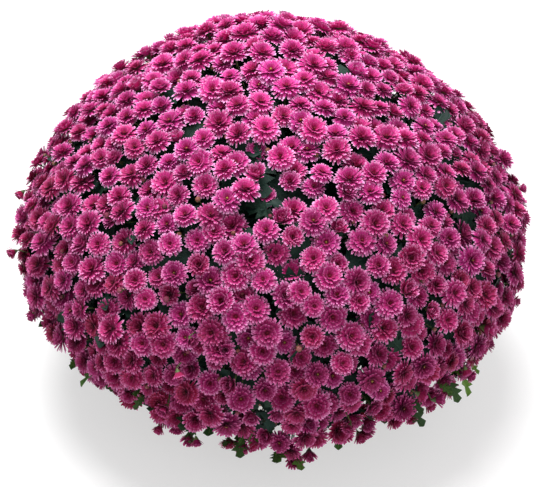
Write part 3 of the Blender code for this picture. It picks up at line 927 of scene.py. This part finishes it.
def make_shoot(points, radii, sides):
    """A round shoot along a path: a grid rolled up, so that its map runs round and along it."""
    deselect()
    bpy.ops.mesh.primitive_grid_add(x_subdivisions=sides, y_subdivisions=len(points) - 1, size=1)
    shoot = bpy.context.object
    rolled = []
    for number, point in enumerate(points):
        way = points[min(number + 1, len(points) - 1)] - points[max(number - 1, 0)]
        turned = facing_frame(way.normalized(), 0)
        for side in range(sides + 1):
            angle = 2 * math.pi * side / sides
            rolled.append(point + turned @ Vector((math.cos(angle), math.sin(angle), 0)) * radii[number])
    shoot.data.vertices.foreach_set("co", np.array(rolled, np.float32).ravel())
    bpy.ops.object.mode_set(mode="EDIT")
    bpy.ops.mesh.select_all(action="SELECT")
    bpy.ops.mesh.remove_doubles(threshold=0.00001)
    bpy.ops.mesh.normals_make_consistent(inside=False)
    return finish_small(shoot, "shoot", STALKS)


def stem_shoots(number, node):
    """The stem from its hole in the soil to its fork, and a branch to each of its sprays."""
    feet = [FEET[name] for name in SPRAY_NODES if STEM_OF_SPRAY[name] == node]
    middle = sum(feet, Vector()) / len(feet) - HEART
    upward = UP * TOP_FORK_REACH
    fork = HEART + (upward if number == 0 else middle.normalized() * FORK_REACH)
    azimuth = (number - 0.5) * 2 * math.pi / (len(STEM_NODES) - 1)
    ring = STEM_RING if number else 0
    foot = Vector((ring * math.cos(azimuth), ring * math.sin(azimuth), SOIL_LEVEL - HOLE_DEPTH))
    collar = foot + UP * (HOLE_DEPTH + 0.010)
    lean = collar.lerp(fork, 0.5) + UP * 0.012
    path = [foot]
    for s in np.linspace(0, 1, 7):
        path.append(collar * (1 - s) ** 2 + lean * 2 * s * (1 - s) + fork * s * s)
    shoots = [make_shoot(path, [STEM_RADIUS] * len(path), 10)]
    radii = [BRANCH_RADIUS, BRANCH_RADIUS * 0.8, BRANCH_TIP_RADIUS]
    for end in feet:
        bow = fork.lerp(end, 0.5) + UP * 0.006
        shoots.append(make_shoot([fork, bow, end], radii, 6))
    return shoots


trial = make_shoot([HEART, HEART + UP * 0.1], [0.005, 0.003], 8)
print("a shoot has", len(trial.data.vertices), "points")
bpy.data.objects.remove(trial)

# %% Green parts that belong to blooms, gaps and buds
LEAF_AREA = 0.00052
LEAF_END = math.radians(125)
INNER_LEAF_AREA = 0.0009
INNER_FROM = math.radians(62)
BUD_AREA = 0.0019
green = {name: [] for name in STEM_NODES}


def add_stalk(home, top, foot):
    """A stalk from its foot to its top, added to a stem's list of copies."""
    way = top - foot
    matrix = Matrix.Translation(foot) @ facing_frame(way.normalized(), 0)
    home.append((STALK, matrix @ Matrix.Diagonal((1, 1, way.length, 1)), {"single": random.random()}))


def add_leaf(home, base, along, face, length, painted_leaf_light):
    """A leaf from its base, along a direction, with its upper side towards face."""
    side = along.cross(face).normalized()
    turned = Matrix((side, along, side.cross(along))).transposed().to_4x4()
    matrix = Matrix.Translation(base) @ turned @ Matrix.Scale(length, 4)
    home.append((random.choice(LEAF_KINDS), matrix, {"single": random.random(), "tone": painted_leaf_light}))


for name, blooms in placed.items():
    home = green[STEM_OF_SPRAY[name]]
    for kind, place, facing, size, spin, tone in blooms:
        matrix = Matrix.Translation(place) @ facing_frame(facing, spin) @ Matrix.Scale(size, 4)
        home.append((CUP, matrix, {"single": random.random()}))
        add_stalk(home, place - facing * 0.004, FEET[name])

# The leaves under the blooms and the deeper layer inside take the near-black colour, as painted shade.
for turn, azimuth in spiral(LEAF_END, LEAF_AREA, 0.4):
    spot, out = nudged(turn, azimuth, 0.006)
    face = (out + UP * 0.2 + scatter(1.1)).normalized()
    along = face.cross(UP * 0.3 + scatter(1)).normalized()
    length = random.uniform(0.038, 0.056)
    base = spot - out * (0.016 + 0.042 * random.random() ** 1.3) - along * length * 0.5
    add_leaf(green[stem_near(spot)], base, along, face, length, 0)

for turn, azimuth in spiral(SKIRT_TURN, INNER_LEAF_AREA, 2.2):
    if turn > INNER_FROM:
        spot, out = nudged(turn, azimuth, 0.008)
        face = (out + scatter(0.9)).normalized()
        along = face.cross(UP + scatter(1)).normalized()
        base = spot - out * random.uniform(0.034, 0.060) - along * 0.030
        add_leaf(green[stem_near(spot)], base, along, face, 0.060, 0)

# The leaves in the gaps are nearly as dark, as painted shade.
for spot, out in gap_spots:
    face = (out + scatter(0.9)).normalized()
    along = face.cross(UP * 0.4 + scatter(1)).normalized()
    base = spot - out * random.uniform(0.010, 0.020) - along * 0.02
    add_leaf(green[stem_near(spot)], base, along, face, random.uniform(0.030, 0.042), 0.03)

for turn, azimuth in spiral(math.radians(119), BUD_AREA, 1.1):
    spot, out = nudged(turn, azimuth, 0.010)
    place = spot - out * random.uniform(0.006, 0.014)
    home = green[stem_near(spot)]
    matrix = Matrix.Translation(place) @ facing_frame((out + UP * 0.3).normalized(), random.uniform(0, 6.28))
    home.append((BUD, matrix @ Matrix.Scale(random.uniform(0.0020, 0.0036), 4), {"single": random.random()}))
    add_stalk(home, place, spot - out * 0.07)
print({name: len(copies) for name, copies in green.items()})

# %% Skirt leaves, and the green pieces
SKIRT_LEAVES = 150
for number in range(SKIRT_LEAVES):
    azimuth = 2 * math.pi * (number + random.uniform(-0.4, 0.4)) / SKIRT_LEAVES
    way = Vector((math.cos(azimuth), math.sin(azimuth), 0))
    base = dome_point(math.radians(random.uniform(106, 122)), azimuth) - way * random.uniform(0.008, 0.036)
    along = (way * random.uniform(0.8, 1.2) - UP * random.uniform(-0.4, 0.5) + scatter(0.8)).normalized()
    face = (UP + way * 0.5 + scatter(0.8)).normalized()
    # Skirt leaves get a lighter green, as painted light, spread at random.
    length, painted_leaf_light = random.uniform(0.017, 0.034), random.uniform(0.1, 0.9)
    add_leaf(green[stem_near(base)], base, along, face, length, painted_leaf_light)

for number, (node, copies) in enumerate(green.items()):
    copies += [(shoot, STILL, {}) for shoot in stem_shoots(number, node)]
    piece = gather("foliage_" + node[-1], copies)
    dress(piece, node)
    print(piece.name, len(piece.data.polygons), "faces")
    for shoot in [copy[0] for copy in copies if copy[0].name.startswith("shoot")]:
        bpy.data.objects.remove(shoot)
for model in (*BLOOMS.values(), CUP, STALK, *LEAF_KINDS, BUD):
    bpy.data.objects.remove(model)

# %% [markdown]
# ## Pot
# The pot is a thin moulded plastic one in terracotta brown, with a broad rim that stiffens it, and
# holes in its floor to let water out. A turned shape comes from one outline spun about the middle,
# and the holes are cut with cylinders, as the mould's pins would leave them.

# %% Pot shape and finish
POT_OUTLINE = (
    (0.0001, 0), (0.0860, 0), (0.0885, 0.0008), (0.0915, 0.0030), (0.0925, 0.0060),
    (0.1165, 0.1445), (0.1172, 0.1475), (0.1265, 0.1480), (0.1272, 0.1490), (0.1278, 0.1660),
    (0.1275, 0.1690), (0.1262, 0.1700), (0.1222, 0.1700), (0.1200, 0.1690), (0.1188, 0.1660),
    (0.1175, 0.1600), (0.0895, 0.0060), (0.0880, 0.0040), (0.0001, 0.0040),
)
POT_STEPS = 72
DRAIN_HOLES = 6
DRAIN_RADIUS = 0.006
DRAIN_RING = 0.062
DRAIN_PIN = 0.03


def pot_finish():
    pot = Finish("pot plastic", Roughness=0.5)
    scuffs = pot.noise(45, detail=6).step_up(0.50, 0.75)
    pot.feed("Base Color", pot.blend(scuffs * 0.5, rgb(112, 58, 38), rgb(138, 82, 58)))
    pot.feed("Roughness", scuffs * 0.25 + 0.42)
    pot.bump(pot.noise(900), 0.15, 0.0003)
    return pot.material


def make_pot():
    """The outline spun round, with a pin cut out of its floor for each drain hole."""
    deselect()
    bpy.ops.mesh.primitive_grid_add(x_subdivisions=1, y_subdivisions=len(POT_OUTLINE) - 1, size=1)
    pot = bpy.context.object
    bpy.ops.object.mode_set(mode="EDIT")
    pick(lambda co: co.x > 0)
    bpy.ops.mesh.delete(type="VERT")
    bpy.ops.object.mode_set(mode="OBJECT")
    for point, (reach, height) in zip(pot.data.vertices, POT_OUTLINE):
        point.co = (reach, 0, height)
    bpy.ops.object.mode_set(mode="EDIT")
    bpy.ops.mesh.select_all(action="SELECT")
    bpy.ops.mesh.spin(steps=POT_STEPS, angle=2 * math.pi, center=(0, 0, 0), axis=(0, 0, 1))
    bpy.ops.mesh.select_all(action="SELECT")
    bpy.ops.mesh.remove_doubles(threshold=0.0002)
    bpy.ops.mesh.normals_make_consistent(inside=False)
    bpy.ops.object.mode_set(mode="OBJECT")
    for number in range(DRAIN_HOLES):
        angle = 2 * math.pi * (number + 0.5) / DRAIN_HOLES
        spot = (DRAIN_RING * math.cos(angle), DRAIN_RING * math.sin(angle), 0)
        deselect()
        bpy.ops.mesh.primitive_cylinder_add(vertices=24, radius=DRAIN_RADIUS, depth=DRAIN_PIN, location=spot)
        pin = bpy.context.object
        deselect()
        bpy.context.view_layer.objects.active = pot
        cut = pot.modifiers.new("hole", "BOOLEAN")
        cut.operation, cut.object, cut.solver = "DIFFERENCE", pin, "MANIFOLD"
        bpy.ops.object.modifier_apply(modifier="hole")
        bpy.data.objects.remove(pin)
    pot.select_set(True)
    bpy.ops.object.shade_smooth_by_angle(angle=math.radians(40))
    pot.name = pot.data.name = "pot_turned"
    pot.data.materials.clear()
    pot.data.materials.append(pot_finish())
    return pot


pot = make_pot()
dress(pot, "pot")
print(pot.name, len(pot.data.polygons), "faces", [round(side, 4) for side in pot.dimensions])

# %% [markdown]
# ## Soil
# Potting soil is dark, with paler bits of bark. Hardly any of it is seen, so the frame's own solid
# stays, and its finish makes the crumbs.

# %% Soil finish


def soil_finish():
    soil = Finish("potting soil", Roughness=0.95)
    crumbs = soil.noise(260, detail=5)
    bark = soil.noise(120).step_up(0.60, 0.68)
    earth = soil.blend(crumbs, rgb(30, 22, 17), rgb(58, 44, 34))
    soil.feed("Base Color", soil.blend(bark * 0.7, earth, rgb(104, 78, 54)))
    soil.bump(crumbs, 0.9, 0.003)
    return soil.material


soil = frame["nodes"]["soil"]
soil.data.materials.clear()
soil.data.materials.append(soil_finish())
print("soil finished")

# %% [markdown]
# ## Floor
# A plain white floor takes the soft shadow. It lies a hair below the pot, so that the two flat faces
# don't flicker through each other, and glows a little, as a white ground in a studio seems to.

# %% Floor
FLOOR_SIZE = 60
FLOOR_DROP = 0.0004
FLOOR_GLOW = 0.52
deselect()
bpy.ops.mesh.primitive_plane_add(size=FLOOR_SIZE, location=(0, 0, 0))
floor = bpy.context.object
bpy.ops.object.mode_set(mode="EDIT")
bpy.ops.transform.translate(value=(0, 0, -FLOOR_DROP))
bpy.ops.object.mode_set(mode="OBJECT")
floor.name = "floor"
ground = Finish("floor", Roughness=0.9, Emission_Color=(1, 1, 1, 1), Emission_Strength=FLOOR_GLOW)
ground.feed("Base Color", ground.blend(ground.noise(3), (0.49, 0.49, 0.49, 1), (0.51, 0.51, 0.51, 1)))
floor.data.materials.append(ground.material)
print("floor laid")

# %% Count the triangles and finish
MADE = ("blooms_", "foliage_", "pot_turned")
made = [piece for piece in bpy.data.objects if piece.name.startswith(MADE)]
triangles = [sum(len(face.vertices) - 2 for face in piece.data.polygons) for piece in made]
print("triangles", sum(triangles), "in all,", max(triangles), "at most in a piece")
